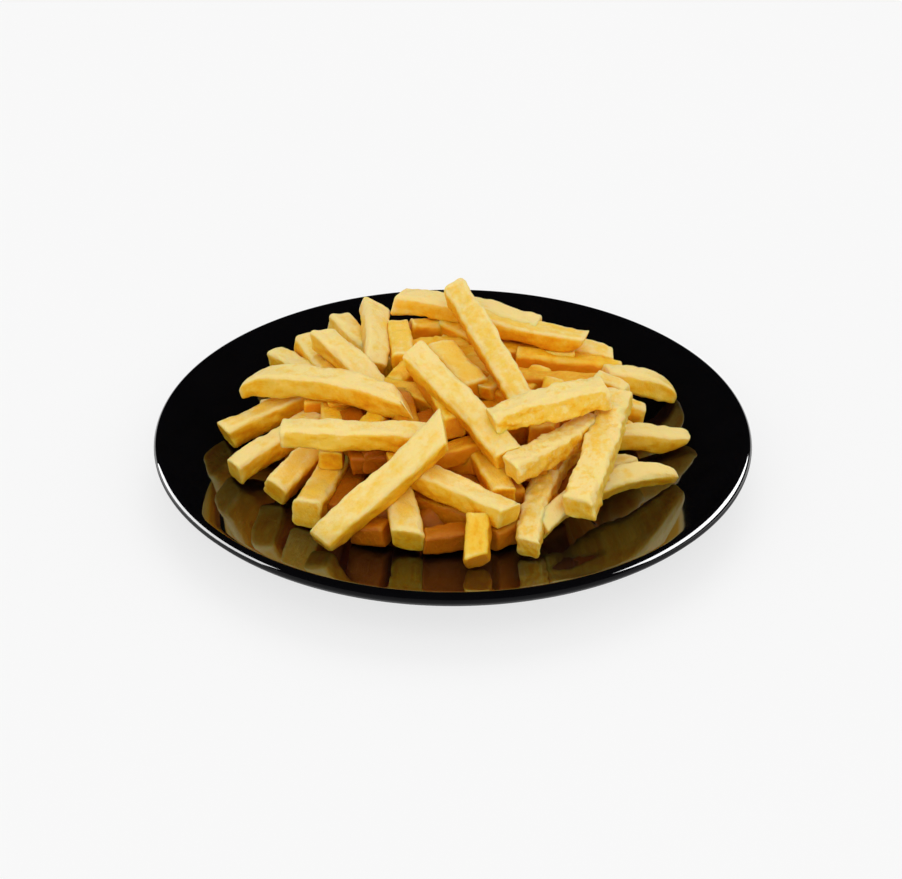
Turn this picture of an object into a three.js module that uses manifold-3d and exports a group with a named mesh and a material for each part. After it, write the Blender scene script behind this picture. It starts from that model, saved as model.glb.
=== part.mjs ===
// A portion of french fries heaped on a round plate.
// Millimetres, +Z up. The origin is the middle of the plate's foot, the front is -Y, the right is +X.
import * as THREE from 'three';
import { mergeVertices } from 'three/addons/utils/BufferGeometryUtils.js';
import Module from 'manifold-3d';

const wasm = await Module();
wasm.setup();

// ---------------------------------------------------------------- plate dimensions
const PLATE_RADIUS = 120;
const PLATE_THICK = 4;
const PLATE_SEGMENTS = 80;
const FLOOR_RADIUS = 66; // the flat middle
const FLOOR_HEIGHT = 7; // its top face above the table
const CURVE_END = 99.45; // from the flat middle out to here the top curves up; it is straight from here on
const CURVE_STEPS = 6;
const SLOPE = 0.41; // the straight part's rise for each mm outwards
const RIM_BEAD = 2.4; // radius of the rounded rim
const RIM_HEIGHT = 18.7; // height of its middle
const RIM_START = 112.3; // degrees round its section, from the slope to the underside
const RIM_END = -RIM_START / 4;
const RIM_STEPS = 10;
const UNDER_CURVE = 0.0039; // the underside rises as this times the square of the way out from the foot ring
const UNDER_STEPS = 4;
const WALL_START = 104; // where it turns up towards the rim
const WALL_MIDDLE = [112, 12.2];
const WALL_FOOT = [118, 15.6];
const FOOT_INNER = 60; // the ring that the plate stands on
const FOOT_OUTER = 66;
const FOOT_LEAN = 2; // how far its sides lean out from bottom to top

// ---------------------------------------------------------------- fries dimensions
const CLEARANCE = 0.3; // between the heap and the plate that it lies on
const CORNER = 1.7; // chamfer along a fry's four edges
const MIDDLE_SECTIONS = [0.35, 0.65]; // sections along a fry between its ends, as shares of its length
const END_INSET = 1.7; // from a cut face to the section next to it
const END_SHRINK = 0.86; // size of the cut face against that section
const CUT_SLANT = 0.5; // most that a cut end leans, in mm for each mm across
const SLANT_REACH = 9; // how far along the fry the lean of its end fades out
const TAPER_POWER = 1.6;
const TIP_BELOW = 0.7; // an end smaller than this is the potato's own rounded end, straight only underneath
const TIP_REACH = 15; // how far it reaches along the fry
const TIP_SECTIONS = [0.35, 0.7]; // sections along it, as shares of its reach
const TIP_WIDTH = 0.5; // how much of its thinning the width shares

// The core under the fries: a low dome whose top falls off as the square of the radius.
const CORE_RADIUS = 64;
const CORE_HEIGHT = 37;
const CORE_EDGE_HEIGHT = 13;
const CORE_SEGMENTS = 32;
const CORE_STEPS = 6;

// One row for each fry that shows: its middle (x, y, z); the heading of its length in degrees
// from +X towards +Y, and its rise in degrees; its length, width and depth; how far it bows and
// how far it is rolled about its length; the size of its outer and inner ends against its middle.
const FRIES = [
  // round the foot of the heap, from the far left to the front
  [-76, 4, 19.5, 24, 15, 36, 10.5, 10.5, 0, 0, 1.05, 1],
  [-71, -15, 17, 44, 8, 42, 10.5, 10.5, 0, 0, 1, 1],
  [-61, -28, 15.5, 60, 6, 32, 11, 11, 0, 20, 0.95, 1],
  [-50, -40, 14.5, 73, 2, 38, 12, 11, 0, 0, 1.05, 1],
  [-31, -67, 13, -12, 0, 14, 10, 9, 0, 0, 1, 1],
  [-19, -60, 18, 99, 15, 32, 12, 10.5, 0, 0, 1.05, 0.95],
  [5, -70, 13, 12, 0, 33, 10, 9, 0, 0, 0.95, 0.85],
  [9, -79.5, 16, 88, 24, 19, 9.5, 9, 0, 0, 0.95, 1],
  [36, -48, 18, 72, 7, 67, 10, 10, 4, -90, 0.95, 0.75],
  [57.5, -46.3, 13, -144, 0, 66, 9, 9, 6, 60, 0.3, 0.9],
  [62, -24, 13.5, -147, 3, 20, 9, 9, 0, 0, 0.9, 1],
  [76, -5, 15.8, -175, 8, 38, 10, 10, -1, 180, 0.25, 1],
  [69.5, 15.5, 18.5, -179, 14, 20, 9, 9.5, 0, 0, 0.85, 1],
  [78, 29, 16.8, -175, 14, 33, 10.5, 10, 1, 0, 0.2, 1],
  // lying against the heap at the front
  [-48, -15, 25.5, 93, 1, 44, 10, 10, 0, 0, 1, 1],
  [-29, -34, 24, 9, 0, 22, 10, 10, 0, 0, 1, 1],
  [-38, -37, 36.5, -5, 1, 56, 10.5, 10, 0, 0, 0.95, 1],
  [-26.1, -60.7, 28, 35.2, 26, 63.6, 11.5, 10.5, 0, 20, 0.6, 1.15],
  [4, -61, 25, 145, 3, 42, 10.5, 10, 0, 0, 1, 1],
  [14, -43, 24, 109, 3, 34, 10.5, 10, 0, 0, 1, 1],
  [38, -40, 33, 46, 0, 46, 10.5, 10.5, 0, 0, 0.95, 1],
  [56.2, -38.2, 31, 73, 11, 66, 12.8, 10.5, 1, 0, 1, 0.95],
  [65, 13, 30, 141, 0, 15, 8, 8, 0, 0, 0.8, 1],
  // across the top
  [-51, -1, 36.2, -23, 3.8, 74, 11.5, 11.5, 4, 0, 0.25, 0.92],
  [-35.4, 12.9, 32, -57, -9, 68, 12, 10, 1, 0, 1, 0.9],
  [3, -23, 42, -54, -15, 65, 11.5, 10.5, 1, 20, 1, 1.05],
  [37, -30, 46.5, -157, -1, 49, 11.5, 11.5, 1, 0, 1, 0.85],
  [14.3, 16.7, 47.2, -70.5, -8, 81, 10.5, 10, 1, 20, 1, 0.95],
  [6.5, 58.7, 40.2, -16.5, -3.5, 62, 12, 10, 1, 0, 1, 0.9],
  // sticking out at the back left
  [-67.5, 43.5, 22, -56, 10, 30, 10, 9.5, 0, 0, 1, 1],
  [-55, 38, 26, -67, 2, 47, 10, 10, 0, 0, 1, 1],
  [-39.5, 51.5, 28, -64, 2, 50, 10, 10, 0, -12, 1, 1],
  [-32.7, 47.3, 33.4, -88, -3, 46.5, 11.5, 10, 1, -20, 1.05, 0.9],
  // stacked at the back right
  [31.2, 45.4, 38.3, -15, -6.5, 50, 11.5, 8.5, 1.5, 180, 1, 0.45],
  [24, 63, 24.5, 172, 0, 46, 10, 10, 0, 0, 1, 1],
  [43.6, 49, 27.5, 167, 3, 50, 10.5, 9.5, 0, 0, 0.85, 1],
  [49, 35.4, 25.6, 178, 6, 45, 10, 14, 0, 0, 0.85, 1],
  [43, 20, 27, -178, 5, 38, 10, 10, 0, 0, 1, 1],
  // down in the hollow between the top ones
  [-22, 41, 34, -85, 0, 31, 10, 9, 0, 0, 1, 1],
  [-10, 58, 32.5, -173, 4, 17, 9, 9, 0, 0, 1, 1],
  [6, 49, 32.5, -46, -2, 28, 9, 9, 0, 0, 1, 1],
  [2, 12, 38.5, -62, -6, 32, 12, 9, 0, 0, 1, 1],
  [9, 25, 29.5, -47, -2, 26, 10, 10, 0, 0, 1, 1],
  [17, 4, 35.5, 52, 0, 16, 9, 8, 0, 0, 1, 1],
  [-6, -8, 37.5, -72, -5, 44, 10, 10, 0, 0, 1, 1],
];

// The ends that are plainly cut aslant, by fry and end (1 outer, 2 inner): lean sideways and upwards.
const ASLANT = {
  '5,1': [0.3, 0],
  '7,1': [-0.4, 0],
  '17,2': [0.64, 0],
  '23,2': [-0.65, -0.65],
  '32,1': [0.7, 0],
};

// The hidden side: fries that lean on the heap with their outer ends on the plate.
const BACK_COUNT = 10;
const BACK_FIRST = 30; // degrees, from +X towards +Y
const BACK_STEP = 14.8;
const BACK_REACH = 84;
const BACK_LENGTH = 48;
const BACK_SIZE = 10; // width and depth
const BACK_RISE = 13.5;
const BACK_TURN = 8; // how far they turn off straight outwards, to one side and the other
const BACK_TIP_HEIGHT = 13.5;
const BACK_SPREAD = { rise: 4, long: 10, wide: 1, reach: 3, bow: 1 }; // how much they differ

const { clamp, degToRad: rad, lerp } = THREE.MathUtils;

// A repeatable draw between -0.5 and 0.5 for one property of one fry.
function draw(index, property) {
  const wave = Math.sin(index * 12.9898 + property * 78.233) * 43758.5453;
  return wave - Math.floor(wave) - 0.5;
}

// Height of the plate's upper face at a radius.
function plateTop(radius) {
  const curved = clamp(radius, FLOOR_RADIUS, CURVE_END) - FLOOR_RADIUS;
  const rise = (SLOPE * curved ** 2) / (CURVE_END - FLOOR_RADIUS) / 2;
  return FLOOR_HEIGHT + rise + SLOPE * Math.max(radius - CURVE_END, 0);
}

function platePoints() {
  const under = FLOOR_HEIGHT - PLATE_THICK;
  const points = [[0, under], [FOOT_INNER - FOOT_LEAN, under], [FOOT_INNER, 0], [FOOT_OUTER, 0]];
  for (let i = 0; i <= UNDER_STEPS; i++) {
    const radius = lerp(FOOT_OUTER + FOOT_LEAN, WALL_START, i / UNDER_STEPS);
    points.push([radius, under + UNDER_CURVE * (radius - FOOT_OUTER) ** 2]);
  }
  points.push(WALL_MIDDLE, WALL_FOOT);
  for (let i = RIM_STEPS; i >= 0; i--) {
    const angle = rad(lerp(RIM_START, RIM_END, i / RIM_STEPS));
    points.push([PLATE_RADIUS + RIM_BEAD * (Math.cos(angle) - 1), RIM_HEIGHT + RIM_BEAD * Math.sin(angle)]);
  }
  for (let i = CURVE_STEPS; i >= 0; i--) {
    const radius = lerp(FLOOR_RADIUS, CURVE_END, i / CURVE_STEPS);
    points.push([radius, plateTop(radius)]);
  }
  points.push([0, FLOOR_HEIGHT]);
  return points;
}

// A solid turned about the vertical axis from a list of [radius, height] points.
function turned(points, segments) {
  const profile = points.map(([radius, height]) => new THREE.Vector2(radius, height));
  const geometry = new THREE.LatheGeometry(profile, segments);
  geometry.rotateX(Math.PI / 2);
  return geometry;
}

function corePoints() {
  const foot = FLOOR_HEIGHT + CLEARANCE;
  const points = [[0, foot], [CORE_RADIUS, foot]];
  for (let i = CORE_STEPS; i >= 0; i--) {
    const share = i / CORE_STEPS;
    points.push([CORE_RADIUS * share, lerp(CORE_HEIGHT, CORE_EDGE_HEIGHT, share ** 2)]);
  }
  return points;
}

// A square section with its four corners cut off.
function frySection(wide, deep) {
  const x = wide / 2;
  const y = deep / 2;
  const corners = [
    [x, CORNER - y], [x, y - CORNER], [x - CORNER, y], [CORNER - x, y],
    [-x, y - CORNER], [-x, CORNER - y], [CORNER - x, -y], [x - CORNER, -y],
  ];
  return new THREE.Shape(corners.map(([across, up]) => new THREE.Vector2(across, up)));
}

// The three directions of a fry: across it, up through it and along it.
function fryAxes(heading, rise, roll) {
  const along = new THREE.Vector3(
    Math.cos(rad(heading)) * Math.cos(rad(rise)),
    Math.sin(rad(heading)) * Math.cos(rad(rise)),
    Math.sin(rad(rise)),
  );
  const across = new THREE.Vector3(-Math.sin(rad(heading)), Math.cos(rad(heading)), 0);
  across.applyAxisAngle(along, rad(roll));
  const up = new THREE.Vector3().crossVectors(along, across);
  return { across, up, along };
}

// Distances of the sections near one end of a fry from that end.
function endPlaces(ratio) {
  const tip = ratio < TIP_BELOW ? TIP_SECTIONS : [];
  return [0, END_INSET, ...tip.map((share) => share * TIP_REACH)];
}

// Width and depth against the middle's, at a distance from an end of the given size ratio.
function towardsEnd(near, ratio, long) {
  if (ratio < TIP_BELOW) {
    const out = clamp(1 - near / TIP_REACH, 0, 1);
    const depth = ratio + (1 - ratio) * Math.sqrt(1 - out ** 2);
    return { width: 1 - TIP_WIDTH * (1 - depth), depth };
  }
  const size = 1 + (ratio - 1) * clamp(1 - (2 * near) / long, 0, 1) ** TAPER_POWER;
  return { width: size, depth: size };
}

// How far a point of a section is moved along the fry by the lean of the nearer end.
function cutLean(index, place, long, sideways, upwards) {
  const end = place < long / 2 ? 1 : 2;
  const near = Math.min(place, long - place);
  const fade = Math.max(1 - near / Math.min(SLANT_REACH, long / 2), 0);
  const drawn = [CUT_SLANT * draw(index, end), CUT_SLANT * draw(index, end + 2)];
  const [across, up] = ASLANT[`${index},${end}`] ?? drawn;
  return fade * (across * sideways + up * upwards);
}

// One fry: an extruded section, bowed, tapered, cut aslant at both ends and set in its place.
function fryGeometry(row, index) {
  const [x, y, z, heading, rise, long, wide, deep, bow, roll, outer, inner] = row;
  const { across, up, along } = fryAxes(heading, rise, roll);
  const middle = MIDDLE_SECTIONS.map((share) => share * long);
  const places = [...endPlaces(outer), ...middle, ...endPlaces(inner).map((near) => long - near)];
  places.sort((a, b) => a - b);
  const steps = places.length - 1;
  const options = { depth: long, steps, bevelEnabled: false };
  const geometry = new THREE.ExtrudeGeometry(frySection(wide, deep), options);
  const corners = geometry.attributes.position;
  for (let i = 0; i < corners.count; i++) {
    const ring = Math.round((corners.getZ(i) / long) * steps);
    const place = places[ring];
    const shrink = ring === 0 || ring === steps ? END_SHRINK : 1;
    const atOuter = towardsEnd(place, outer, long);
    const atInner = towardsEnd(long - place, inner, long);
    const depth = atOuter.depth * atInner.depth;
    const sideways = corners.getX(i) * atOuter.width * atInner.width * shrink;
    const upwards = corners.getY(i) * depth * shrink;
    const lean = cutLean(index, place, long, sideways, upwards);
    const bend = bow * (0.5 - ((2 * place) / long - 1) ** 2);
    const thinned = ((1 - depth) * deep) / 2;
    const spot = new THREE.Vector3(x, y, z);
    spot.addScaledVector(across, sideways);
    spot.addScaledVector(up, upwards + bend - thinned);
    spot.addScaledVector(along, place - long / 2 + lean);
    corners.setXYZ(i, spot.x, spot.y, spot.z);
  }
  raiseClear(geometry);
  return geometry;
}

// Moves a fry straight up until it clears the plate.
function raiseClear(geometry) {
  const place = geometry.attributes.position;
  let short = 0;
  for (let i = 0; i < place.count; i++) {
    const floor = plateTop(Math.hypot(place.getX(i), place.getY(i))) + CLEARANCE;
    short = Math.max(short, floor - place.getZ(i));
  }
  geometry.translate(0, 0, short);
}

function backRow(index) {
  const angle = BACK_FIRST + BACK_STEP * index;
  const rise = BACK_RISE + BACK_SPREAD.rise * draw(index, 5);
  const long = BACK_LENGTH + BACK_SPREAD.long * draw(index, 6);
  const wide = BACK_SIZE + BACK_SPREAD.wide * draw(index, 7);
  const reach = BACK_REACH + BACK_SPREAD.reach * draw(index, 8);
  const middle = reach - (long / 2) * Math.cos(rad(rise));
  const height = BACK_TIP_HEIGHT + (long / 2) * Math.sin(rad(rise));
  const turn = index % 2 ? BACK_TURN : -BACK_TURN;
  const spot = [middle * Math.cos(rad(angle)), middle * Math.sin(rad(angle)), height];
  const bow = BACK_SPREAD.bow * draw(index, 9);
  return [...spot, angle + 180 + turn, rise, long, wide, BACK_SIZE, bow, 0, 0.9, 1];
}

function toSolid(geometry) {
  geometry.deleteAttribute('normal');
  geometry.deleteAttribute('uv');
  const merged = mergeVertices(geometry, 1e-4);
  const vertProperties = new Float32Array(merged.attributes.position.array);
  const triVerts = new Uint32Array(merged.index.array);
  return new wasm.Manifold(new wasm.Mesh({ numProp: 3, vertProperties, triVerts }));
}

function toGeometry(solid) {
  const mesh = solid.getMesh();
  const geometry = new THREE.BufferGeometry();
  geometry.setAttribute('position', new THREE.BufferAttribute(mesh.vertProperties, 3));
  geometry.setIndex(new THREE.BufferAttribute(mesh.triVerts, 1));
  geometry.computeVertexNormals();
  return geometry;
}

// The largest shell alone: hollows that the joining sealed are filled and loose scraps dropped.
function largestShell(solid) {
  const shells = solid.decompose();
  shells.sort((a, b) => b.volume() - a.volume());
  return shells[0];
}

function heapGeometry() {
  const rows = [...FRIES];
  for (let i = 0; i < BACK_COUNT; i++) rows.push(backRow(i));
  let heap = toSolid(turned(corePoints(), CORE_SEGMENTS));
  rows.forEach((row, index) => {
    heap = heap.add(toSolid(fryGeometry(row, index)));
  });
  return toGeometry(largestShell(heap));
}

function piece(name, geometry, colour, roughness) {
  const material = new THREE.MeshStandardMaterial({ color: colour, roughness, metalness: 0 });
  const mesh = new THREE.Mesh(geometry, material);
  mesh.name = name;
  return mesh;
}

const portion = new THREE.Group();
portion.add(piece('plate', toGeometry(toSolid(turned(platePoints(), PLATE_SEGMENTS))), 0x08080a, 0.08));
portion.add(piece('fries_heap', heapGeometry(), 0xe9bf63, 0.6));

export default portion;
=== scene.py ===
# A portion of french fries on a glossy black plate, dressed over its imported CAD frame.
# Sizes are in millimetres until a mesh is made; +Z is up and the camera stands on the -Y side.
import math
import bpy
import numpy as np
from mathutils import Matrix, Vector


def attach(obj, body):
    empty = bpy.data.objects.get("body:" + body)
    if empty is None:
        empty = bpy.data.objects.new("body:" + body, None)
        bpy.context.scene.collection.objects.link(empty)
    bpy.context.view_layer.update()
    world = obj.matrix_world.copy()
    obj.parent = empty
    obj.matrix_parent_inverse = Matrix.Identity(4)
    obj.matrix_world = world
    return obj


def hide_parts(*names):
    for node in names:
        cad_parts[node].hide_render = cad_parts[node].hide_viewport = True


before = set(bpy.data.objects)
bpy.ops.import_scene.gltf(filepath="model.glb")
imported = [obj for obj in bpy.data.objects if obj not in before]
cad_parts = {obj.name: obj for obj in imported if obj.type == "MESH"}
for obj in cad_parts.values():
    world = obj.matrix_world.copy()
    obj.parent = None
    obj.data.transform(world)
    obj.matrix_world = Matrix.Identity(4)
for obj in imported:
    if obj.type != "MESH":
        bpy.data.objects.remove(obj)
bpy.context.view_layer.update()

MM = 0.001

# ---------------------------------------------------------------- plate
PLATE_RADIUS = 120
PLATE_THICK = 4
PLATE_SEGMENTS = 240
FLOOR_RADIUS = 66  # the flat middle
FLOOR_HEIGHT = 7  # its top face above the table
CURVE_END = 99.45  # from the flat middle out to here the top curves up, and is straight from here on
SLOPE = 0.41  # the straight part's rise for each mm outwards
SLOPE_END = 116.69  # where it runs into the rounded rim
RIM_BEAD = 2.4  # radius of the rounded rim
RIM_HEIGHT = 18.7  # height of its middle
RIM_START = 112.3  # degrees round its section, from the slope to the underside
RIM_END = -28.1
GLAZE_END = 20  # degrees round the rim where the gloss ends and the satin underside begins
UNDER_CURVE = 0.0039  # the underside rises as this times the square of the way out from the foot ring
WALL_START = 104  # where it turns up more steeply
WALL_MIDDLE = (112, 12.2)  # radius and height of two points on the way up to the rim
WALL_FOOT = (118, 15.6)
FOOT_INNER = 60  # radii of the foot ring that the plate stands on
FOOT_OUTER = 66
FOOT_LEAN = 2  # how much wider the ring is where it leaves the underside, on each side
FOOT_ROUND = 0.8  # rounding of its edges
UNDER_STEPS = 14  # sections across the underside inside the foot ring, and outside it
WALL_STEPS = 24
RIM_STEPS = 24
TOP_STEPS = 64

# ---------------------------------------------------------------- fries
CLEARANCE = 0.3  # between the fries and the plate
CORNER = 0.4  # radius along a fry's four edges, as a share of its half width
CORNER_POINTS = 6  # round each of them
SIDE_POINTS = 4  # on each flat side, between its rounded corners
HOLLOW_SIDES = 0.04  # how far the flat sides sink between the corners, as a share of the half width
EDGE_WEAR = 0.16  # most that a corner is worn down in places, as a share of the half width
SKEW = 0.1  # most that a section is pushed out of square, and its sides out of true
SWAY = 0.018  # most that a fry curves sideways, as a share of its length
RING_STEP = 1.3  # between sections along a fry
CUT_ROUND = 0.9  # radius of the edge round a cut end
CUT_SLANT = 0.5  # most that a cut end leans, in mm for each mm across
# The ends that are plainly cut aslant, by fry and end (1 outer, 2 inner): lean sideways and upwards.
ASLANT = {
    (5, 1): (0.3, 0),
    (7, 1): (-0.4, 0),
    (17, 2): (0.64, 0),
    (23, 2): (-0.65, -0.65),
    (32, 1): (0.7, 0),
}
SLANT_REACH = 9  # how far along the fry the lean of its end fades out
CUT_INSETS = (3.8, 2.9, 1.9)  # how far in from a fry's side the sections of a cut end's face lie
CUT_TURNS = (90, 67, 45, 22, 0)  # degrees from lengthways, of the sections round its edge
TAPER_POWER = 1.6  # how much of a taper is left to the last part of a fry
TIP_BELOW = 0.7  # an end smaller than this is the potato's own rounded end, straight only underneath
TIP_REACH = 15  # how far it reaches along the fry
TIP_WIDTH = 0.5  # how much of its thinning the width shares
SWELL = (0.38, 15)  # height and wavelength of the unevenness of a fry's sides
LUMPS = (0.2, 4.2)  # the same for its small lumps
BLISTERS = (0.36, 3.4)  # the same for the blistered skin of the crisp fries
MOST_TWIST = 7  # degrees from end to end
WEAR_LENGTH = 9  # wavelength of the wear along the edges
SWELL_STRETCH = (0.6, 1, 1)  # the unevenness is drawn out along the fry: its change along, across and up
WEAR_STRETCH = (0.5, 1, 1)  # the same for the wear
CUT_RELIEF = 0.35  # how much of that relief is left on the cut ends
TIP_RELIEF = 0.2  # and at least on a thin tip
THINNEST = (0.3, 0.2)  # least half width and half depth of a section
CUT_FROM = 50  # degrees from lengthways beyond which a fry's skin counts as its cut end
EDGE_POWER = 6  # how sharply the edges stand out from the sides
RIM_WIDTH = 1.2  # how far the rim round a cut end reaches, with its painted highlight and its toast

# One row for each fry that shows: its middle (x, y, z); the heading of its length in degrees
# from +X towards +Y, and its rise in degrees; its length, width and depth; how far it bows and
# how far it is rolled about its length; the size of its outer and inner ends against its middle.
FOOT_OF_HEAP = [
    (-76, 4, 19.5, 24, 15, 36, 10.5, 10.5, 0, 0, 1.05, 1),
    (-71, -15, 17, 44, 8, 42, 10.5, 10.5, 0, 0, 1, 1),
    (-61, -28, 15.5, 60, 6, 32, 11, 11, 0, 20, 0.95, 1),
    (-50, -40, 14.5, 73, 2, 38, 12, 11, 0, 0, 1.05, 1),
    (-31, -67, 13, -12, 0, 14, 10, 9, 0, 0, 1, 1),
    (-19, -60, 18, 99, 15, 32, 12, 10.5, 0, 0, 1.05, 0.95),
    (5, -70, 13, 12, 0, 33, 10, 9, 0, 0, 0.95, 0.85),
    (9, -79.5, 16, 88, 24, 19, 9.5, 9, 0, 0, 0.95, 1),
    (36, -48, 18, 72, 7, 67, 10, 10, 4, -90, 0.95, 0.75),
    (57.5, -46.3, 13, -144, 0, 66, 9, 9, 6, 60, 0.3, 0.9),
    (62, -24, 13.5, -147, 3, 20, 9, 9, 0, 0, 0.9, 1),
    (76, -5, 15.8, -175, 8, 38, 10, 10, -1, 180, 0.25, 1),
    (69.5, 15.5, 18.5, -179, 14, 20, 9, 9.5, 0, 0, 0.85, 1),
    (78, 29, 16.8, -175, 14, 33, 10.5, 10, 1, 0, 0.2, 1),
]
FRONT_OF_HEAP = [
    (-48, -15, 25.5, 93, 1, 44, 10, 10, 0, 0, 1, 1),
    (-29, -34, 24, 9, 0, 22, 10, 10, 0, 0, 1, 1),
    (-38, -37, 36.5, -5, 1, 56, 10.5, 10, 0, 0, 0.95, 1),
    (-26.1, -60.7, 28, 35.2, 26, 63.6, 11.5, 10.5, 0, 20, 0.6, 1.15),
    (4, -61, 25, 145, 3, 42, 10.5, 10, 0, 0, 1, 1),
    (14, -43, 24, 109, 3, 34, 10.5, 10, 0, 0, 1, 1),
    (38, -40, 33, 46, 0, 46, 10.5, 10.5, 0, 0, 0.95, 1),
    (56.2, -38.2, 31, 73, 11, 66, 12.8, 10.5, 1, 0, 1, 0.95),
    (65, 13, 30, 141, 0, 15, 8, 8, 0, 0, 0.8, 1),
]
TOP_OF_HEAP = [
    (-51, -1, 36.2, -23, 3.8, 74, 11.5, 11.5, 4, 0, 0.25, 0.92),
    (-35.4, 12.9, 32, -57, -9, 68, 12, 10, 1, 0, 1, 0.9),
    (3, -23, 42, -54, -15, 65, 11.5, 10.5, 1, 20, 1, 1.05),
    (37, -30, 46.5, -157, -1, 49, 11.5, 11.5, 1, 0, 1, 0.85),
    (14.3, 16.7, 47.2, -70.5, -8, 81, 10.5, 10, 1, 20, 1, 0.95),
    (6.5, 58.7, 40.2, -16.5, -3.5, 62, 12, 10, 1, 0, 1, 0.9),
]
BACK_OF_HEAP = [
    (-67.5, 43.5, 22, -56, 10, 30, 10, 9.5, 0, 0, 1, 1),
    (-55, 38, 26, -67, 2, 47, 10, 10, 0, 0, 1, 1),
    (-39.5, 51.5, 28, -64, 2, 50, 10, 10, 0, -12, 1, 1),
    (-32.7, 47.3, 33.4, -88, -3, 46.5, 11.5, 10, 1, -20, 1.05, 0.9),
    (31.2, 45.4, 38.3, -15, -6.5, 50, 11.5, 8.5, 1.5, 180, 1, 0.45),
    (24, 63, 24.5, 172, 0, 46, 10, 10, 0, 0, 1, 1),
    (43.6, 49, 27.5, 167, 3, 50, 10.5, 9.5, 0, 0, 0.85, 1),
    (49, 35.4, 25.6, 178, 6, 45, 10, 14, 0, 0, 0.85, 1),
    (43, 20, 27, -178, 5, 38, 10, 10, 0, 0, 1, 1),
]
HOLLOW_OF_HEAP = [
    (-22, 41, 34, -85, 0, 31, 10, 9, 0, 0, 1, 1),
    (-10, 58, 32.5, -173, 4, 17, 9, 9, 0, 0, 1, 1),
    (6, 49, 32.5, -46, -2, 28, 9, 9, 0, 0, 1, 1),
    (2, 12, 38.5, -62, -6, 32, 12, 9, 0, 0, 1, 1),
    (9, 25, 29.5, -47, -2, 26, 10, 10, 0, 0, 1, 1),
    (17, 4, 35.5, 52, 0, 16, 9, 8, 0, 0, 1, 1),
    (-6, -8, 37.5, -72, -5, 44, 10, 10, 0, 0, 1, 1),
]

# The hidden side: fries that lean on the heap with their outer ends on the plate.
BACK_COUNT = 10
BACK_FIRST = 30  # degrees, from +X towards +Y
BACK_STEP = 14.8
BACK_REACH = 84  # radius at which their outer ends lie
BACK_LENGTH = 48
BACK_SIZE = 10
BACK_RISE = 13.5
BACK_TURN = 8  # degrees that they turn to one side and the other by turns
BACK_TIP_HEIGHT = 13.5
BACK_SPREAD = {"rise": 4, "long": 10, "wide": 1, "reach": 3, "bow": 1}  # between the least and the most

# Fries inside the heap, seen only through its gaps: middle, heading, rise and length.
HIDDEN_FROM = 55  # number of the first of them
INSIDE_SIZE = 10
INSIDE = [
    (-28, -25, 12.5, 80, 0, 45), (-2, -38, 12.5, -15, 0, 45), (22, -28, 12.5, 75, 0, 45),
    (52, -3, 12.5, 20, 0, 45), (0, -8, 12.5, 5, 0, 60), (-55, 10, 12.5, 70, 0, 50),
    (-28, 18, 12.5, 100, 0, 45), (5, 20, 12.5, -20, 0, 60), (42, 24, 12.5, 15, 0, 50),
    (-25, -14, 22.5, -35, 0, 55), (12, -22, 22.5, 30, 0, 52), (36, 6, 20, -40, 0, 55),
    (-42, 22, 20, 50, 0, 50), (5, 32, 22.5, -10, 0, 62), (-5, 5, 22.5, 75, 0, 40),
    (-28, 4, 28, 15, 0, 45), (17, 2, 32, -50, 0, 58), (-2, 30, 30, 30, 0, 44),
    (38, -8, 30, 80, 0, 40), (22, 44, 28, -10, 0, 58),
    (5, -57, 13.5, -28, 0, 44), (27, -60, 13, 40, 0, 36), (14, -52, 18, 15, 0, 26),
    (-40, -39.5, 12.5, 75, 0, 34), (-6, 44, 30, 10, 0, 34),
]
MIDDLE = [
    (-30, -12, 29, 70, 0, 46), (-18, -20, 30.5, 100, 2, 48), (-36, -22, 26, 110, 0, 36),
    (-24, 6, 31, -30, 0, 40), (-4, -36, 27.5, 20, 0, 44), (8, -18, 31, -65, 0, 40),
    (-8, -16, 28.5, 35, 0, 36), (24, 0, 29.5, -35, 0, 44), (32, -12, 28, 25, 0, 40),
    (28, 14, 26, 60, 0, 34), (14, -6, 27, 0, 0, 40), (-14, 28, 30.5, 60, 0, 40),
    (-40, 6, 26, 10, 0, 40), (18, -36, 24, -15, 0, 40), (44, -22, 22, 65, 0, 40),
]

# The core under them all: a low dome whose top falls off as the square of the radius.
CORE_RADIUS = 62
CORE_HEIGHT = 24
CORE_EDGE_HEIGHT = 10
CORE_RELIEF = (1.6, 11)  # height and wavelength of its bumps
CORE_AROUND = 120  # points round it
CORE_STEPS = (12, 40)  # sections underneath it and over its top
# Painted shade: the core is painted dark, as it lies deep in the heap's shade.
CORE_SHADE = -5.0

# ---------------------------------------------------------------- camera
SENSOR = 36
FOCAL_PIXELS = 1856  # focal length, in pixels of a frame that is FRAME_WIDTH pixels wide
FRAME_WIDTH = 902
CAMERA_RISE = 31.3  # degrees above the table
CAMERA_DISTANCE = 750
CAMERA_TARGET = (-0.75, -4.2, 15)

# ---------------------------------------------------------------- colours and light
# Potato, from the painted shade of the deepest gaps of the heap to the painted highlight of the palest
# edges.
SHADE_RUSSET = (0.16, 0.03, 0.001)
SHADE_UMBER = (0.42, 0.1, 0.001)
EMBER = (0.8, 0.29, 0.004)
AMBER = (0.88, 0.39, 0.006)
DEEP_GOLD = (0.93, 0.48, 0.01)
GOLD = (0.95, 0.58, 0.05)
STRAW = (0.95, 0.61, 0.09)
CREAM = (0.95, 0.72, 0.27)
TOAST = (0.72, 0.3, 0.02)
TOASTED = (0.55, 0.75, 0.15)  # blotches between which toast comes in along the edges, and its most share
CRUSTED = (0.55, 0.72, 0.5)  # the same of the blisters and cream, on the crisp fries
POTATO_STOPS = [
    (0.0, EMBER), (0.14, AMBER), (0.28, DEEP_GOLD), (0.45, GOLD), (0.66, STRAW), (0.9, CREAM),
]
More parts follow.
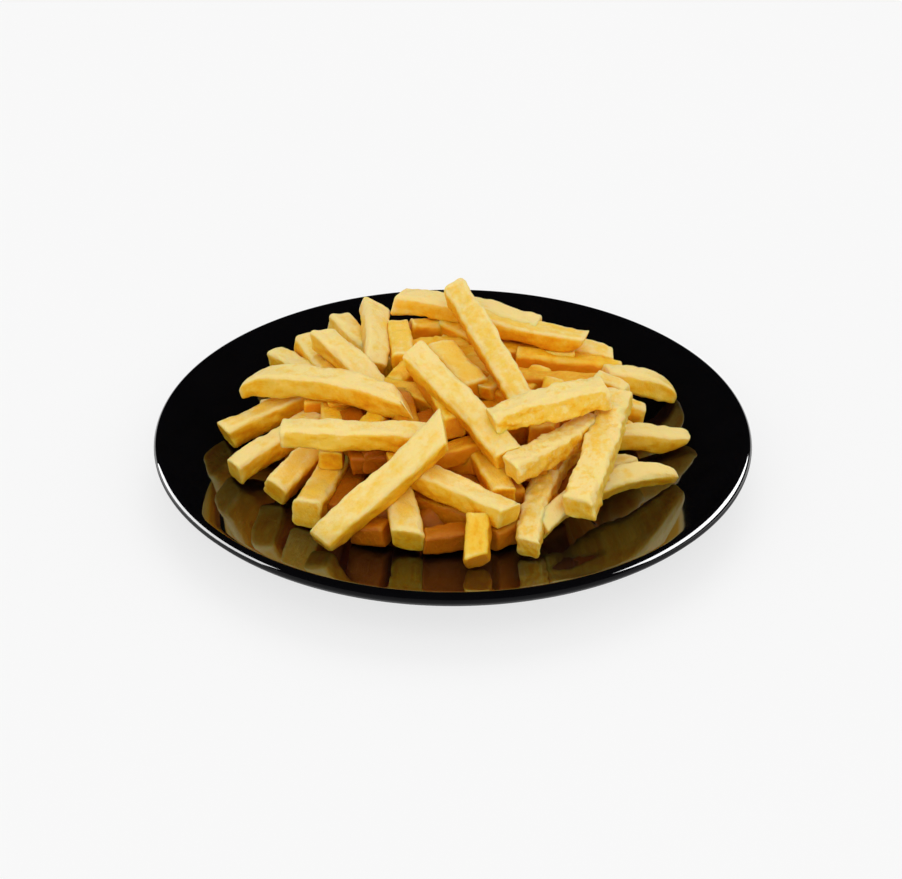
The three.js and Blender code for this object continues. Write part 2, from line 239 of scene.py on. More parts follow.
TOP_LIGHT_PALENESS = (0.28, 0.77)  # painted light: along those stops, of a face that looks down and of one that looks up
TOP_LIGHT_FACING = (-0.4, 0.95)  # upward parts of the normals that count as looking down and up, for that painted light
TONE_AND_SHADE_STEP = 0.13  # along those stops, for each step of a fry's tone and painted shade
EDGE_HIGHLIGHT = 0.34  # painted highlight: how much paler the edges are
CUT_END_LIGHT = 0.16  # and painted light that makes the cut ends paler
OCCLUSION_SHADE = 0.4  # painted shade: how much paler the spots that nothing covers are, and darker the covered ones
HALF_OPEN = 0.8  # openness that changes nothing
OPEN_REACH = 0.025  # metres within which something covers a spot and puts painted shade on it
MOTTLING = 0.5  # how much the blotches and the streaks change it
SPECKLING = (0.6, 1.2)  # and the speckle, on a plain fry and on a crisp one
# Noise over the potato: scale for each mm, detail and roughness.
BLOTCH_NOISE = (0.13, 2.0, 0.5)
STREAK_NOISE = (0.32, 3.0, 0.5)
STREAK_STRETCH = (0.35, 1, 1)
SPECKLE_NOISE = (0.38, 4.0, 0.65)
BLISTER_NOISE = (0.45, 3.0, 0.6)
PORE_NOISE = (1.2, 3.0, 0.6)
POTATO_ROUGHNESS = (0.34, 0.5)
NOISE_RANGE = (0.3, 0.7)  # between which nearly all of a noise lies
# Bumps in a material: strength, and height in metres.
BLISTER_BUMP = (0.6, 0.0008)
PORE_BUMP = (0.5, 0.0005)
# Painted shade on fries deep in the heap: tones between which a browner colour comes in, and its most
# share.
UMBER_SHADE_FROM = (-3.6, -5.6, 0.85)
RUSSET_SHADE_FROM = (-5.4, -7.6, 0.9)
# The plate and the floor: two colours each, mixed by noise.
GLAZE = ((0.003, 0.003, 0.0035, 1), (0.006, 0.0055, 0.007, 1))
GLAZE_CLOUDS = (60.0, 3.0)  # scale for each metre and detail of its noise
GLAZE_SMEARS = (25.0, 2.0)
GLAZE_WAVES = (45.0, 1.0)
GLAZE_ROUGHNESS = (0.02, 0.045)
GLAZE_BUMP = (0.08, 0.0004)
SATIN_ROUGHNESS = 0.45
CLAY = ((0.13, 0.1, 0.08, 1), (0.26, 0.21, 0.17, 1))
CLAY_GRIT = (700.0, 3.0)
CLAY_ROUGHNESS = 0.9
CLAY_BUMP = (0.15, 0.0002)
BARE_BELOW = (0.0011, 0.0004)  # metres above the table: the clay begins to show, and is quite bare
PAPER = ((0.22, 0.22, 0.22, 1), (0.23, 0.23, 0.23, 1))
PAPER_GLOW = 0.72  # strength of the light that it gives by itself
CRISP_ROWS = (8, 20, 21, 26)  # the fries with a blistered, mottled crust
# How pale each of some fries is against the rest: partly its own tone, and painted shade below 0 for the
# darker ones deep in the heap.
# From HIDDEN_FROM on it is added to HIDDEN_SHADE, the painted shade of the fries inside.
TONES_AND_SHADE = {
    0: -0.2, 1: 0.6, 2: -0.4, 3: -0.8, 4: -5.3, 5: 0, 6: -5.3, 7: -3.4, 8: 0.3, 9: 1.4,
    10: 0.8, 11: 0.8, 13: 0.4, 14: -1.8, 15: -5.6, 16: 0.2, 17: -0.2, 18: 0, 19: -1.6,
    20: 0.9, 21: 0.1, 23: 0.3, 24: 0.2, 25: -0.1, 26: 0.6, 27: -0.8, 28: 1.2,
    33: -1.2, 35: -0.6, 36: -3.4, 37: -4.2, 38: -1.6, 39: -1.6,
    40: -2, 41: -1.4, 42: -2.2, 43: -0.6, 44: -3,
    55: -4.2, 56: -1.4, 75: -1.4, 76: -1.8, 77: -1.4, 78: -3,
    81: -1.6, 82: -2.6, 84: -1, 86: -2.2, 93: -1,
}
TONE_SPREAD = 0.6  # most that the tone of another fry differs from 0
# Painted shade of the fries hidden inside the heap.
HIDDEN_SHADE = -3.1
WORLD_COLOUR = (0.52, 0.52, 0.52)
FLOOR_SIZE = 15000
# The lamps: name, azimuth from +X towards +Y and elevation in degrees; then spread in degrees and
# strength for the wide ones; brightness, width and height for the soft boxes that the glaze mirrors.
SUNS = [
    ("behind", 85, 52, 40, 0.65),
    ("front_left", -125, 35, 80, 0.8),
    ("front_right", -55, 35, 80, 0.8),
]
BOX_DISTANCE = 1500
SOFT_BOXES = [("right_box", 14, 33, 12, 1900, 700), ("left_box", 172, 17, 8, 1900, 700)]


def draw(index, number):
    """A repeatable draw between -0.5 and 0.5 for one property of one fry."""
    wave = math.sin(index * 12.9898 + number * 78.233) * 43758.5453
    return wave - math.floor(wave) - 0.5


def plate_top(radius):
    """Height of the plate's top face at each radius."""
    curved = np.clip(radius, FLOOR_RADIUS, CURVE_END) - FLOOR_RADIUS
    rise = SLOPE * curved**2 / (CURVE_END - FLOOR_RADIUS) / 2
    return FLOOR_HEIGHT + rise + SLOPE * np.maximum(radius - CURVE_END, 0)


# ---------------------------------------------------------------- meshes
def lofted(rings, first, last):
    """Points and faces of a closed skin over rings of points, ending in the points first and last."""
    count, around = rings.shape[:2]
    points = np.vstack([rings.reshape(-1, 3), first, last])
    k, j = np.meshgrid(np.arange(count - 1), np.arange(around), indexing="ij")
    a = (k * around + j).reshape(-1)
    b = (k * around + (j + 1) % around).reshape(-1)
    faces = np.stack([a, b, b + around, a + around], axis=1).tolist()
    turn = np.arange(around)
    following = (turn + 1) % around
    end = (count - 1) * around
    faces += [(count * around, q, p) for p, q in zip(turn.tolist(), following.tolist())]
    faces += [(count * around + 1, end + p, end + q) for p, q in zip(turn.tolist(), following.tolist())]
    return points, faces


def mesh_object(name, points, faces, material, values=None):
    """A smooth-shaded object from points in millimetres. values holds surface values by name."""
    mesh = bpy.data.meshes.new(name)
    mesh.from_pydata((points * MM).tolist(), [], faces)
    mesh.polygons.foreach_set("use_smooth", [True] * len(mesh.polygons))
    for key, numbers in (values or {}).items():
        vector = numbers.ndim == 2
        layer = mesh.attributes.new(key, "FLOAT_VECTOR" if vector else "FLOAT", "POINT")
        layer.data.foreach_set("vector" if vector else "value", numbers.reshape(-1))
    mesh.materials.append(material)
    piece = bpy.data.objects.new(name, mesh)
    bpy.context.scene.collection.objects.link(piece)
    return piece


def arc(centre, radius, start, end, count):
    """Points on an arc, with its angles in degrees."""
    angles = np.radians(np.linspace(start, end, count))
    return [(centre[0] + radius * math.cos(a), centre[1] + radius * math.sin(a)) for a in angles]


def plate_profile():
    """The plate's section as (radius, height), from its underside's middle round to its top's."""
    under = FLOOR_HEIGHT - PLATE_THICK
    points = [(radius, under) for radius in np.linspace(0, FOOT_INNER - FOOT_LEAN, UNDER_STEPS)]
    points += arc((FOOT_INNER + FOOT_ROUND, FOOT_ROUND), FOOT_ROUND, 215, 270, 5)
    points += arc((FOOT_OUTER - FOOT_ROUND, FOOT_ROUND), FOOT_ROUND, -90, -35, 5)
    for radius in np.linspace(FOOT_OUTER + FOOT_LEAN, WALL_START, WALL_STEPS):
        points.append((radius, under + UNDER_CURVE * (radius - FOOT_OUTER) ** 2))
    points += [WALL_MIDDLE, WALL_FOOT]
    points += arc((PLATE_RADIUS - RIM_BEAD, RIM_HEIGHT), RIM_BEAD, RIM_END, RIM_START, RIM_STEPS)
    for radius in np.linspace(SLOPE_END, 0, TOP_STEPS)[1:]:
        points.append((radius, plate_top(radius)))
    return np.array(points)


def make_plate(glaze, underside):
    """The plate, turned from its section; its last material is the underside's."""
    profile = plate_profile()
    inner = profile[1:-1]
    turn = np.linspace(0, 2 * math.pi, PLATE_SEGMENTS, endpoint=False)
    x = np.outer(inner[:, 0], np.cos(turn))
    y = np.outer(inner[:, 0], np.sin(turn))
    z = np.repeat(inner[:, 1:], PLATE_SEGMENTS, axis=1)
    points, faces = lofted(np.stack([x, y, z], axis=2), (0, 0, profile[0, 1]), (0, 0, profile[-1, 1]))
    plate = mesh_object("plate_glazed", points, faces, glaze)
    plate.data.materials.append(underside)
    lowest_gloss = RIM_HEIGHT + RIM_BEAD * math.sin(math.radians(GLAZE_END))
    first_gloss = int(np.argmax((inner[:, 0] > PLATE_RADIUS - RIM_BEAD) & (inner[:, 1] > lowest_gloss)))
    ring = np.arange(len(faces)) // PLATE_SEGMENTS
    below = (ring < first_gloss) | (ring == len(inner) - 1)
    plate.data.polygons.foreach_set("material_index", below.astype(int).tolist())
    return plate


def square_section():
    """A rounded square of half width 1, anticlockwise, and how near each point is to a corner."""
    straight = 1 - CORNER
    points = []
    for corner in range(4):
        cosine = math.cos(math.radians(90 * corner))
        sine = math.sin(math.radians(90 * corner))
        side = [(1, y) for y in np.linspace(-straight, straight, SIDE_POINTS + 2)[1:-1]]
        side += arc((straight, straight), CORNER, 0, 90, CORNER_POINTS)
        points += [(x * cosine - y * sine, x * sine + y * cosine) for x, y in side]
    points = np.array(points)
    most = 1 - CORNER * (1 - math.sqrt(0.5))
    return points, np.clip(np.abs(points).min(axis=1) / most, 0, 1)


def fry_axes(heading, rise, roll):
    """The three directions of a fry: along it, across it and up through it."""
    h, p, r = math.radians(heading), math.radians(rise), math.radians(roll)
    along = np.array([math.cos(h) * math.cos(p), math.sin(h) * math.cos(p), math.sin(p)])
    across = np.array([-math.sin(h), math.cos(h), 0.0])
    up = np.cross(along, across)
    return along, across * math.cos(r) + up * math.sin(r), up * math.cos(r) - across * math.sin(r)


def waves(rng, points, wavelength, count=16):
    """A smooth random field over points: a sum of plane waves, mostly between -1 and 1."""
    field = np.zeros(points.shape[:-1])
    for _ in range(count):
        direction = rng.normal(size=3)
        direction *= 2 * math.pi / (wavelength * rng.uniform(0.7, 1.5) * np.linalg.norm(direction))
        field += np.sin(points @ direction + rng.uniform(0, 2 * math.pi))
    return field / math.sqrt(count)


def ring_places(length):
    """For each section along a fry: its place, how far it is drawn in, and how far it faces endways."""
    end = [(0, inset, 90) for inset in CUT_INSETS]
    for turned in CUT_TURNS:
        turn = math.radians(turned)
        end.append((CUT_ROUND * (1 - math.sin(turn)), CUT_ROUND * (1 - math.cos(turn)), turned))
    count = max(4, round((length - 2 * CUT_ROUND) / RING_STEP))
    middle = [(place, 0, 0) for place in np.linspace(CUT_ROUND, length - CUT_ROUND, count + 1)[1:-1]]
    other = [(length - place, inset, -turned) for place, inset, turned in reversed(end)]
    return np.array(end + middle + other).T


def towards_end(near, ratio, length):
    """Width and depth against the middle's, at each distance from an end of the given size ratio."""
    if ratio < TIP_BELOW:
        out = np.clip(1 - near / TIP_REACH, 0, 1)
        depth = ratio + (1 - ratio) * np.sqrt(1 - out**2)
        return 1 - TIP_WIDTH * (1 - depth), depth
    out = np.clip(1 - 2 * near / length, 0, 1)
    depth = 1 + (ratio - 1) * out**TAPER_POWER
    return depth, depth


def fry_tone_and_shade(index, rng):
    """How pale a fry is against the rest: its own tone, with painted shade for the fries deep in the
    heap.
    """
    tone_and_shade = TONES_AND_SHADE.get(index, rng.uniform(-TONE_SPREAD, TONE_SPREAD))
    return tone_and_shade + HIDDEN_SHADE if index >= HIDDEN_FROM else tone_and_shade


def worn_square(rng):
    """A fry's section out of square, with sunken sides; and the plain section and its corners."""
    section, nearness = square_section()
    sunk = 1 - HOLLOW_SIDES * (1 - nearness**2)
    flare = 1 + SKEW / 2 * rng.uniform(-1, 1, 4)
    skew = SKEW * rng.uniform(-1, 1)
    shape_a = section[:, 0] * sunk * np.where(section[:, 0] > 0, flare[0], flare[1])
    shape_b = section[:, 1] * sunk * np.where(section[:, 1] > 0, flare[2], flare[3])
    return shape_a + skew * shape_b, shape_b, section, nearness


def cut_lean(index, place, length, a, b):
    """How far each point is moved along the fry by the lean of its cut ends."""
    lean = np.zeros_like(a)
    for end in (1, 2):
        away = place if end == 1 else length - place
        fade = np.clip(1 - away / min(SLANT_REACH, length / 2), 0, 1)[:, None]
        drawn = (CUT_SLANT * draw(index, end), CUT_SLANT * draw(index, end + 2))
        sideways, upwards = ASLANT.get((index, end), drawn)
        lean += fade * (sideways * a + upwards * b)
    return lean


def outward(section, facing):
    """The direction that each point of a fry faces, as along, across and up."""
    radial = np.hypot(section[:, 0], section[:, 1])
    sideways = np.cos(facing)[:, :, None] * (section / radial[:, None])[None]
    endways = np.repeat(-np.sin(facing), len(section), axis=1)[:, :, None]
    return np.concatenate([endways, sideways], axis=2)


def skin_relief(rng, local, nearness, facing, crisp, thickness):
    """How far each point stands out: the fry's unevenness, lumps and blisters, and its worn edges."""
    wear = np.clip(1 + waves(rng, local * WEAR_STRETCH, WEAR_LENGTH), 0, 2)
    worn = EDGE_WEAR / 2 * nearness**2 * wear
    swell = SWELL[0] * waves(rng, local * SWELL_STRETCH, SWELL[1])
    lumps = LUMPS[0] * waves(rng, local, LUMPS[1])
    blisters = crisp * BLISTERS[0] * waves(rng, local, BLISTERS[1])
    return swell + (lumps + blisters) - np.cos(facing) * worn * thickness / 2


def edge_and_cut(place, inset, turned, length, nearness):
    """For each point, how near it is to an edge, and whether it is on a cut end."""
    past_round = np.minimum(place, length - place) - CUT_ROUND
    rim = np.exp(-((past_round / RIM_WIDTH) ** 2)) * (inset < RIM_WIDTH)
    on_cut = (np.abs(turned) > CUT_FROM)[:, None]
    edge = np.maximum(rim[:, None], nearness**EDGE_POWER * ~on_cut)
    return edge, on_cut * np.ones(edge.shape)


def fry_parts(row, index):
    """Points, faces and surface values of one fry."""
    x, y, z, heading, rise, length, wide, deep, bow, roll, outer, inner = row
    rng = np.random.default_rng(1000 + index)
    crisp = 1.0 if index in CRISP_ROWS else 0.0
    tone_and_shade = fry_tone_and_shade(index, rng)
    shape_a, shape_b, section, nearness = worn_square(rng)
    place, inset, turned = ring_places(length)
    share = place / length
    outer_width, outer_depth = towards_end(place, outer, length)
    inner_width, inner_depth = towards_end(length - place, inner, length)
    depth_size = outer_depth * inner_depth
    half_width = np.maximum(outer_width * inner_width * wide / 2 - inset, THINNEST[0])
    half_depth = np.maximum(depth_size * deep / 2 - inset * np.minimum(depth_size, 1), THINNEST[1])
    a = np.outer(half_width, shape_a)
    b = np.outer(half_depth, shape_b)
    twist = math.radians(rng.uniform(-MOST_TWIST, MOST_TWIST)) * (share - 0.5)[:, None]
    a, b = a * np.cos(twist) - b * np.sin(twist), a * np.sin(twist) + b * np.cos(twist)
    local = np.stack([place[:, None] + cut_lean(index, place, length, a, b), a, b], axis=2)
    facing = np.radians(turned)[:, None]
    relief = skin_relief(rng, local, nearness, facing, crisp, min(wide, deep))
    relief_left = CUT_RELIEF + (1 - CUT_RELIEF) * np.cos(facing)
    relief *= np.minimum(1, 2 * half_depth / deep + TIP_RELIEF)[:, None] * relief_left
    shaped = local + outward(section, facing) * relief[:, :, None]
    curve = 0.5 - (2 * share - 1) ** 2
    lift = (bow * curve - (1 - depth_size) * deep / 2)[:, None]
    sway = (SWAY * length * rng.uniform(-1, 1) * curve)[:, None]
    along, across, up = fry_axes(heading, rise, roll)
    rings = np.array([x, y, z]) + (shaped[:, :, 0] - length / 2)[:, :, None] * along
    rings = rings + (shaped[:, :, 1] + sway)[:, :, None] * across
    rings = rings + (shaped[:, :, 2] + lift)[:, :, None] * up
    points, faces = lofted(rings, rings[0].mean(axis=0), rings[-1].mean(axis=0))
    lowest = plate_top(np.hypot(points[:, 0], points[:, 1])) + CLEARANCE
    points[:, 2] += max(0.0, (lowest - points[:, 2]).max())
    edge, cut = edge_and_cut(place, inset, turned, length, nearness)
    shift = rng.uniform(0, 500, 3)
    ends = np.array([local[0].mean(axis=0), local[-1].mean(axis=0)]) + shift
    values = {
        "grain": np.vstack([(local + shift).reshape(-1, 3), ends]),
        "edge": np.append(edge.reshape(-1), (0.0, 0.0)),
        "cut": np.append(cut.reshape(-1), (1.0, 1.0)),
        "tone_and_shade": np.full(len(points), tone_and_shade),
        "crisp": np.full(len(points), crisp),
    }
    return points, faces, values


def make_core(material):
    """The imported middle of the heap, seen only in its deepest gaps."""
    rng = np.random.default_rng(7)
    turn = np.linspace(0, 2 * math.pi, CORE_AROUND, endpoint=False)
    radii = np.linspace(2, CORE_RADIUS - 3, CORE_STEPS[0])
    under = [(radius, float(plate_top(radius)) + CLEARANCE) for radius in radii]
    shares = np.linspace(1, 0.03, CORE_STEPS[1])
    fall = CORE_EDGE_HEIGHT - CORE_HEIGHT
    over = [(CORE_RADIUS * share, CORE_HEIGHT + fall * share**2) for share in shares]
    profile = np.array(under + over)
    x = np.outer(profile[:, 0], np.cos(turn))
    y = np.outer(profile[:, 0], np.sin(turn))
    z = np.repeat(profile[:, 1:], len(turn), axis=1)
    rings = np.stack([x, y, z], axis=2)
    bumps = CORE_RELIEF[0] * waves(rng, rings, CORE_RELIEF[1])
    bumps[: len(under)] = 0
    rings[:, :, 2] += bumps
    top = rings[-1, :, 2].mean()
    points, faces = lofted(rings, (0, 0, FLOOR_HEIGHT + CLEARANCE), (0, 0, top))
    values = {key: np.zeros(len(points)) for key in ("edge", "cut", "crisp")}
    values["tone_and_shade"] = np.full(len(points), CORE_SHADE)
    values["grain"] = points.copy()
    return mesh_object("fries_core", points, faces, material, values)


def fries_object(name, rows, first_index, material):
    """One object of many fries, each its own closed skin."""
    all_points, all_faces, all_values, start = [], [], [], 0
    for offset, row in enumerate(rows):
        points, faces, values = fry_parts(row, first_index + offset)
        all_points.append(points)
        all_faces += [tuple(v + start for v in face) for face in faces]
        all_values.append(values)
        start += len(points)
    joined = {key: np.concatenate([values[key] for values in all_values]) for key in all_values[0]}
    return mesh_object(name, np.concatenate(all_points), all_faces, material, joined)


def back_row(index):
    """The row of one of the fries that lean on the hidden side."""
    angle = math.radians(BACK_FIRST + BACK_STEP * index)
    rise = BACK_RISE + BACK_SPREAD["rise"] * draw(index, 5)
    length = BACK_LENGTH + BACK_SPREAD["long"] * draw(index, 6)
    wide = BACK_SIZE + BACK_SPREAD["wide"] * draw(index, 7)
    reach = BACK_REACH + BACK_SPREAD["reach"] * draw(index, 8)
    middle = reach - length / 2 * math.cos(math.radians(rise))
    height = BACK_TIP_HEIGHT + length / 2 * math.sin(math.radians(rise))
    heading = math.degrees(angle) + 180 + (BACK_TURN if index % 2 else -BACK_TURN)
    bow = BACK_SPREAD["bow"] * draw(index, 9)
    spot = (middle * math.cos(angle), middle * math.sin(angle), height)
    return (*spot, heading, rise, length, wide, BACK_SIZE, bow, 0, 0.9, 1)


def hidden_rows(rows):
    """Whole rows from those of the fries inside the heap."""
    return [(*row, INSIDE_SIZE, INSIDE_SIZE, 0, 0, 1, 1) for row in rows]


# ---------------------------------------------------------------- materials
class Nodes:
    """Short ways to add and link the nodes of one material."""

    def __init__(self, name):
        self.material = bpy.data.materials.new(name)
        self.material.use_nodes = True
        self.tree = self.material.node_tree
        self.shader = self.tree.nodes["Principled BSDF"]

    def add(self, kind, **settings):
        node = self.tree.nodes.new(kind)
        for key, value in settings.items():
            setattr(node, key, value)
        return node

    def link(self, output, target):
        self.tree.links.new(output, target)

    def put(self, target, value):
        """A socket gets a value, or a link where the value is another node's output."""
        if isinstance(value, bpy.types.NodeSocket):
            self.link(value, target)
        else:
            target.default_value = value

    def attribute(self, name, output="Fac"):
        return self.add("ShaderNodeAttribute", attribute_name=name).outputs[output]

    def noise(self, vector, scale, detail=2.0, roughness=0.5):
        node = self.add("ShaderNodeTexNoise")
        self.put(node.inputs["Vector"], vector)
        node.inputs["Scale"].default_value = scale
        node.inputs["Detail"].default_value = detail
        node.inputs["Roughness"].default_value = roughness
        return node.outputs["Fac"]

    def math(self, operation, first, second=0.0):
        node = self.add("ShaderNodeMath", operation=operation)
        self.put(node.inputs[0], first)
        self.put(node.inputs[1], second)
        return node.outputs[0]

    def swing(self, value, centre, size):
        """The value's difference from a centre, times a size."""
        return self.math("MULTIPLY", self.math("SUBTRACT", value, centre), size)

    def remap(self, value, low, high, to_low=0.0, to_high=1.0):
        node = self.add("ShaderNodeMapRange", interpolation_type="SMOOTHSTEP")
        self.put(node.inputs["Value"], value)
        node.inputs["From Min"].default_value = low
        node.inputs["From Max"].default_value = high
        node.inputs["To Min"].default_value = to_low
        node.inputs["To Max"].default_value = to_high
        return node.outputs["Result"]

    def ramp(self, value, stops):
        node = self.add("ShaderNodeValToRGB")
        elements = node.color_ramp.elements
        while len(elements) < len(stops):
            elements.new(0.5)
        for element, (place, colour) in zip(elements, stops):
            element.position = place
            element.color = (*colour, 1)
        self.put(node.inputs["Fac"], value)
        return node.outputs["Color"]

    def mix(self, share, first, second):
        node = self.add("ShaderNodeMix", data_type="RGBA")
        self.put(node.inputs["Factor"], share)
        self.put(node.inputs["A"], first)
        self.put(node.inputs["B"], second)
        return node.outputs["Result"]

    def bump(self, height, strength, distance, normal=None):
        node = self.add("ShaderNodeBump")
        self.put(node.inputs["Height"], height)
        node.inputs["Strength"].default_value = strength
        node.inputs["Distance"].default_value = distance
        if normal is not None:
            self.put(node.inputs["Normal"], normal)
        return node.outputs["Normal"]


def potato_paleness(nodes, grain, blotches, tone_and_shade, edge, crisp):
    """Where each spot lies along the potato's colours: painted light makes it pale on top, at the edges
    and on the cut ends, painted shade golden below and where it is covered.
    """
    stretch = nodes.add("ShaderNodeVectorMath", operation="MULTIPLY")
    nodes.put(stretch.inputs[0], grain)
    stretch.inputs[1].default_value = STREAK_STRETCH
    streaks = nodes.noise(stretch.outputs[0], *STREAK_NOISE)
    speckle = nodes.noise(grain, *SPECKLE_NOISE)
    split = nodes.add("ShaderNodeSeparateXYZ")
    nodes.put(split.inputs[0], nodes.add("ShaderNodeNewGeometry").outputs["Normal"])
    # Painted shade: ambient occlusion makes spots that neighbouring fries cover darker, open spots
    # paler.
    occlusion = nodes.add("ShaderNodeAmbientOcclusion", samples=8)
    occlusion.inputs["Distance"].default_value = OPEN_REACH
    parts = [
        nodes.swing(occlusion.outputs["AO"], HALF_OPEN, OCCLUSION_SHADE),
        # Painted light: faces that look up are painted paler, faces that look down more golden.
        nodes.remap(split.outputs["Z"], *TOP_LIGHT_FACING, *TOP_LIGHT_PALENESS),
        nodes.swing(blotches, 0.5, MOTTLING),
        nodes.swing(streaks, 0.5, MOTTLING),
        nodes.swing(speckle, 0.5, nodes.remap(crisp, 0.0, 1.0, *SPECKLING)),
        # Painted highlight along the edges and round the cut ends.
        nodes.math("MULTIPLY", edge, EDGE_HIGHLIGHT),
        # Painted light on the cut ends, which makes them paler.
        nodes.math("MULTIPLY", nodes.attribute("cut"), CUT_END_LIGHT),
    ]
    # Each fry's own tone, with painted shade for the fries deep in the heap.
    pale = nodes.math("MULTIPLY", tone_and_shade, TONE_AND_SHADE_STEP)
    for part in parts:
        pale = nodes.math("ADD", pale, part)
    return pale


def potato_material():
    """Fried potato: painted light makes it pale on top and where it lies open, painted shade golden down
    its sides and deep in the heap; toasted along some edges.
    """
    nodes = Nodes("fried_potato")
    grain = nodes.attribute("grain", "Vector")
    tone_and_shade, edge, crisp = (nodes.attribute(name) for name in ("tone_and_shade", "edge", "crisp"))
    blotches = nodes.noise(grain, *BLOTCH_NOISE)
    blisters = nodes.noise(grain, *BLISTER_NOISE)
    pale = potato_paleness(nodes, grain, blotches, tone_and_shade, edge, crisp)
    start, full, share = TOASTED
    toast = nodes.math("MULTIPLY", edge, nodes.remap(blotches, start, full, 0.0, share))
    colour = nodes.mix(toast, nodes.ramp(pale, POTATO_STOPS), (*TOAST, 1))
    start, full, share = CRUSTED
    crust = nodes.math("MULTIPLY", nodes.remap(blisters, start, full), crisp)
    colour = nodes.mix(nodes.math("MULTIPLY", crust, share), colour, (*CREAM, 1))
    # Painted shade: fries deep in the heap turn browner, towards umber and then russet.
    for shade_brown, (start, full, share) in ((SHADE_UMBER, UMBER_SHADE_FROM), (SHADE_RUSSET, RUSSET_SHADE_FROM)):
        colour = nodes.mix(nodes.remap(tone_and_shade, full, start, share, 0.0), colour, (*shade_brown, 1))
    shader = nodes.shader.inputs
    nodes.put(shader["Base Color"], colour)
    nodes.put(shader["Roughness"], nodes.remap(blisters, *NOISE_RANGE, *POTATO_ROUGHNESS))
    shader["Specular IOR Level"].default_value = 0.22
    shader["Subsurface Weight"].default_value = 0.5
    shader["Subsurface Radius"].default_value = (1.0, 0.45, 0.12)
    shader["Subsurface Scale"].default_value = 0.003
    pores = nodes.bump(nodes.noise(grain, *PORE_NOISE), *PORE_BUMP)
    nodes.put(shader["Normal"], nodes.bump(blisters, *BLISTER_BUMP, pores))
    return nodes.material


def glaze_material():
    """Black glaze: almost a mirror, with a faint unevenness."""
    nodes = Nodes("plate_glaze")
    spot = nodes.add("ShaderNodeTexCoord").outputs["Object"]
    shader = nodes.shader.inputs
    nodes.put(shader["Base Color"], nodes.mix(nodes.noise(spot, *GLAZE_CLOUDS), *GLAZE))
    smears = nodes.noise(spot, *GLAZE_SMEARS)
    nodes.put(shader["Roughness"], nodes.remap(smears, *NOISE_RANGE, *GLAZE_ROUGHNESS))
    shader["IOR"].default_value = 1.8
    nodes.put(shader["Normal"], nodes.bump(nodes.noise(spot, *GLAZE_WAVES), *GLAZE_BUMP))
    return nodes.material


def underside_material():
    """The plate's satin underside, with the bare clay of the ring that it stands on."""
    nodes = Nodes("plate_underside")
    spot = nodes.add("ShaderNodeTexCoord").outputs["Object"]
    split = nodes.add("ShaderNodeSeparateXYZ")
    nodes.put(split.inputs[0], spot)
    bare = nodes.remap(split.outputs["Z"], *BARE_BELOW)
    grit = nodes.noise(spot, *CLAY_GRIT)
    glaze = nodes.mix(nodes.noise(spot, *GLAZE_CLOUDS), *GLAZE)
    shader = nodes.shader.inputs
    nodes.put(shader["Base Color"], nodes.mix(bare, glaze, nodes.mix(grit, *CLAY)))
    nodes.put(shader["Roughness"], nodes.remap(bare, 0.0, 1.0, SATIN_ROUGHNESS, CLAY_ROUGHNESS))
    shader["Specular IOR Level"].default_value = 0.12
    nodes.put(shader["Normal"], nodes.bump(grit, *CLAY_BUMP))
    return nodes.material


def floor_material():
    """Pale paper that also glows a little, so that the plate's shadow on it stays faint."""
    nodes = Nodes("studio_paper")
    spot = nodes.add("ShaderNodeTexCoord").outputs["Object"]
    shader = nodes.shader.inputs
    nodes.put(shader["Base Color"], nodes.mix(nodes.noise(spot, 3.0), *PAPER))
    shader["Emission Color"].default_value = (1, 1, 1, 1)
    shader["Emission Strength"].default_value = PAPER_GLOW
    shader["Roughness"].default_value = 0.9
    shader["Specular IOR Level"].default_value = 0.1
    return nodes.material


# ---------------------------------------------------------------- studio
def direction(azimuth, elevation):
    """A unit vector; azimuth in degrees from +X towards +Y."""
    a, e = math.radians(azimuth), math.radians(elevation)
    return Vector((math.cos(a) * math.cos(e), math.sin(a) * math.cos(e), math.sin(e)))


def add_lamp(name, kind, azimuth, elevation):
    """A lamp that shines at the plate from a direction, and its light to set up."""
    towards = direction(azimuth, elevation)
    light = bpy.data.lights.new(name, kind)
    lamp = bpy.data.objects.new(name, light)
    lamp.location = towards * BOX_DISTANCE * MM
    lamp.rotation_euler = towards.to_track_quat("Z", "Y").to_euler()
    bpy.context.scene.collection.objects.link(lamp)
    return lamp, light


def add_sun(name, azimuth, elevation, spread, strength):
    """Wide soft light."""
    lamp, light = add_lamp(name, "SUN", azimuth, elevation)
    light.angle = math.radians(spread)
    light.energy = strength
    return lamp


def add_soft_box(name, azimuth, elevation, radiance, wide, high):
    """A soft box that draws the bright line along the plate's rim."""
    lamp, light = add_lamp(name, "AREA", azimuth, elevation)
    light.shape = "RECTANGLE"
    light.size = wide * MM
    light.size_y = high * MM
    light.energy = radiance * math.pi * wide * high * MM**2
    lamp.visible_diffuse = False
    return lamp


def shine_on(lamps, pieces, name):
    """The lamps light these pieces and nothing else."""
    lit = bpy.data.collections.new(name)
    for piece in pieces:
        lit.objects.link(piece)
    for lamp in lamps:
        lamp.light_linking.receiver_collection = lit


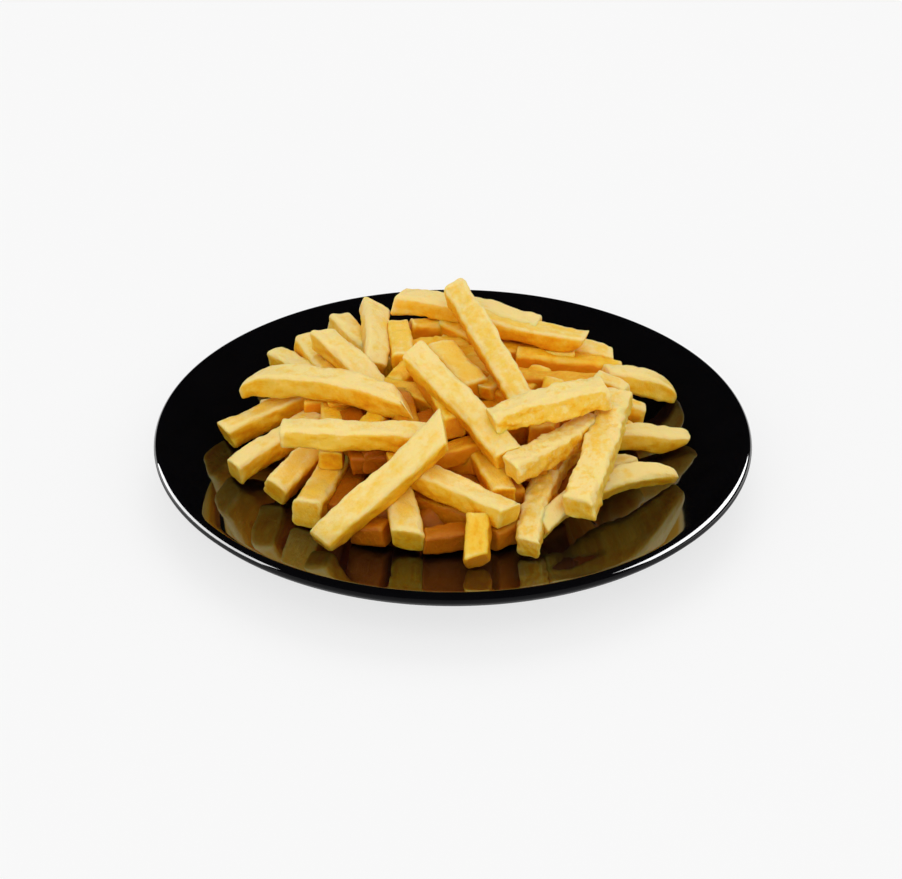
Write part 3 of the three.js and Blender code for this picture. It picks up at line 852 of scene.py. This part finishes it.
def add_world():
    """Even light from all round, which the glaze doesn't mirror."""
    world = bpy.data.worlds.new("studio")
    world.use_nodes = True
    background = world.node_tree.nodes["Background"].inputs
    background["Color"].default_value = (*WORLD_COLOUR, 1)
    background["Strength"].default_value = 1
    bpy.context.scene.world = world
    world.cycles_visibility.glossy = False


def add_floor():
    """The pale floor that the plate stands on."""
    size = FLOOR_SIZE
    corners = np.array([(-size, -size, 0.0), (size, -size, 0.0), (size, size, 0.0), (-size, size, 0.0)])
    floor = mesh_object("studio_floor", corners, [(0, 1, 2, 3)], floor_material())
    return floor


def add_camera():
    """A camera that looks at the plate from the front, from a little above."""
    camera = bpy.data.cameras.new("camera")
    camera.sensor_width = SENSOR
    camera.lens = FOCAL_PIXELS * SENSOR / FRAME_WIDTH
    back = direction(-90, CAMERA_RISE)
    stand = bpy.data.objects.new("camera", camera)
    stand.location = (Vector(CAMERA_TARGET) + back * CAMERA_DISTANCE) * MM
    stand.rotation_euler = back.to_track_quat("Z", "Y").to_euler()
    camera.clip_start = 0.01
    bpy.context.scene.collection.objects.link(stand)
    bpy.context.scene.camera = stand


add_world()
floor = add_floor()
add_camera()
bpy.context.scene.view_settings.view_transform = "Standard"

plate = make_plate(glaze_material(), underside_material())
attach(plate, "root")
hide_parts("plate")

potato = potato_material()
layers = {
    "fries_foot": FOOT_OF_HEAP,
    "fries_front": FRONT_OF_HEAP,
    "fries_top": TOP_OF_HEAP,
    "fries_back": BACK_OF_HEAP,
    "fries_hollow": HOLLOW_OF_HEAP,
    "fries_leaning": [back_row(index) for index in range(BACK_COUNT)],
    "fries_inside": hidden_rows(INSIDE),
    "fries_middle": hidden_rows(MIDDLE),
}
pieces = []
fries_so_far = 0
for name, rows in layers.items():
    pieces.append(fries_object(name, rows, fries_so_far, potato))
    fries_so_far += len(rows)
core = make_core(potato)
for piece in [core, *pieces]:
    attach(piece, "root")
    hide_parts("fries_heap")

# The wide light would turn the black glaze grey, and the soft boxes would streak the fries.
shine_on([add_sun(*sun) for sun in SUNS], [floor, core, *pieces], "lit_wide")
shine_on([add_soft_box(*box) for box in SOFT_BOXES], [plate], "lit_by_boxes")
